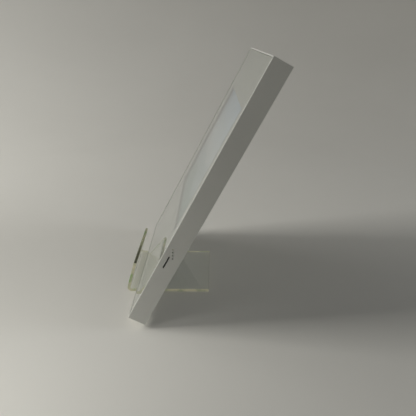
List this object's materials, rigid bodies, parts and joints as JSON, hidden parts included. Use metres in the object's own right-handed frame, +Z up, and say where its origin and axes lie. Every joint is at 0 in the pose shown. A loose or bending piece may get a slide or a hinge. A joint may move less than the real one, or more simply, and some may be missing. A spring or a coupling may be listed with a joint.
{
  "type": "digital photo frame",
  "caption": "Slim white digital photo frame with a clear front pane, leaning back on a small clear bent-sheet stand; lifts off it, keys on the back.",
  "frame": {"origin": "on the surface the stand rests on, under the middle of the whole object's box", "axes": "+Z up, the picture faces -Y and leans back 28 degrees towards +Y, +X to the viewer's right"},
  "size_m": [0.203, 0.1462, 0.2354],
  "materials": {
    "white_plastic": "satin moulded white",
    "cover_plastic": "fine-textured white",
    "button_plastic": "satin light grey",
    "inner_plastic": "plain moulded",
    "clear_glass": "polished clear",
    "stand_acrylic": "clear, polished edges",
    "guide_acrylic": "clear",
    "mat_card": "matte off-white card",
    "black_foam": "matte",
    "sheet_steel": "plain rolled",
    "bright_steel": "tinned",
    "screw_steel": "zinc plated",
    "screen_glass": "anti-glare",
    "film_plastic": "white film",
    "circuit_board": "solder mask",
    "black_plastic": "moulded black",
    "lead_rubber": "plain",
    "flex_film": "amber film"
  },
  "bodies": {
    "stand": {"stand_base": "stand_acrylic", "stand_back_rest": "stand_acrylic"},
    "case": {"back_cover": "cover_plastic", "board_screw_1": "screw_steel", "board_screw_2": "screw_steel", "board_screw_3": "screw_steel", "board_screw_4": "screw_steel", "bracket_screw_left": "screw_steel", "bracket_screw_right": "screw_steel", "button_board": "circuit_board", "button_flex_cable": "flex_film", "card_socket": "bright_steel", "clock_cell": "bright_steel", "clock_cell_holder": "black_plastic", "cover_glass": "clear_glass", "cover_screw_1": "screw_steel", "cover_screw_2": "screw_steel", "cover_screw_3": "screw_steel", "cover_screw_4": "screw_steel", "cover_screw_5": "screw_steel", "cover_screw_6": "screw_steel", "cover_screw_7": "screw_steel", "cover_screw_8": "screw_steel", "dc_jack": "black_plastic", "foam_gasket": "black_foam", "front_shell": "white_plastic", "hanger_plate_landscape": "sheet_steel", "hanger_plate_portrait": "sheet_steel", "lcd_cell": "screen_glass", "lcd_flex_cable": "flex_film", "led_strip": "film_plastic", "light_guide": "guide_acrylic", "main_board": "circuit_board", "mat_board": "mat_card", "mid_plate": "sheet_steel", "optical_films": "film_plastic", "panel_bezel": "sheet_steel", "panel_bracket_left": "sheet_steel", "panel_bracket_right": "sheet_steel", "panel_frame": "inner_plastic", "panel_tray": "sheet_steel", "processor_shield": "bright_steel", "reflector_sheet": "film_plastic", "speaker_lead_left": "lead_rubber", "speaker_lead_right": "lead_rubber", "speaker_left": "black_plastic", "speaker_right": "black_plastic", "status_light_pipe": "guide_acrylic", "usb_socket": "bright_steel", "wifi_antenna": "flex_film", "wifi_module": "bright_steel"},
    "button_down": {"button_down": "button_plastic"},
    "button_enter": {"button_enter": "button_plastic"},
    "button_menu": {"button_menu": "button_plastic"},
    "button_power": {"button_power": "button_plastic"},
    "button_up": {"button_up": "button_plastic"}
  },
  "joints": [
    {"name": "frame_lift", "type": "slide", "parent": "stand", "child": "case", "axis": [0, 0.4695, 0.8829], "range_m": [0, 0.06]},
    {"name": "button_down_press", "type": "slide", "parent": "case", "child": "button_down", "axis": [0, -0.8829, 0.4695], "range_m": [0, 0.0006], "stiffness_N_per_m": 1500},
    {"name": "button_enter_press", "type": "slide", "parent": "case", "child": "button_enter", "axis": [0, -0.8829, 0.4695], "range_m": [0, 0.0006], "stiffness_N_per_m": 1500},
    {"name": "button_menu_press", "type": "slide", "parent": "case", "child": "button_menu", "axis": [0, -0.8829, 0.4695], "range_m": [0, 0.0006], "stiffness_N_per_m": 1500},
    {"name": "button_power_press", "type": "slide", "parent": "case", "child": "button_power", "axis": [0, -0.8829, 0.4695], "range_m": [0, 0.0006], "stiffness_N_per_m": 1500},
    {"name": "button_up_press", "type": "slide", "parent": "case", "child": "button_up", "axis": [0, -0.8829, 0.4695], "range_m": [0, 0.0006], "stiffness_N_per_m": 1500}
  ]
}
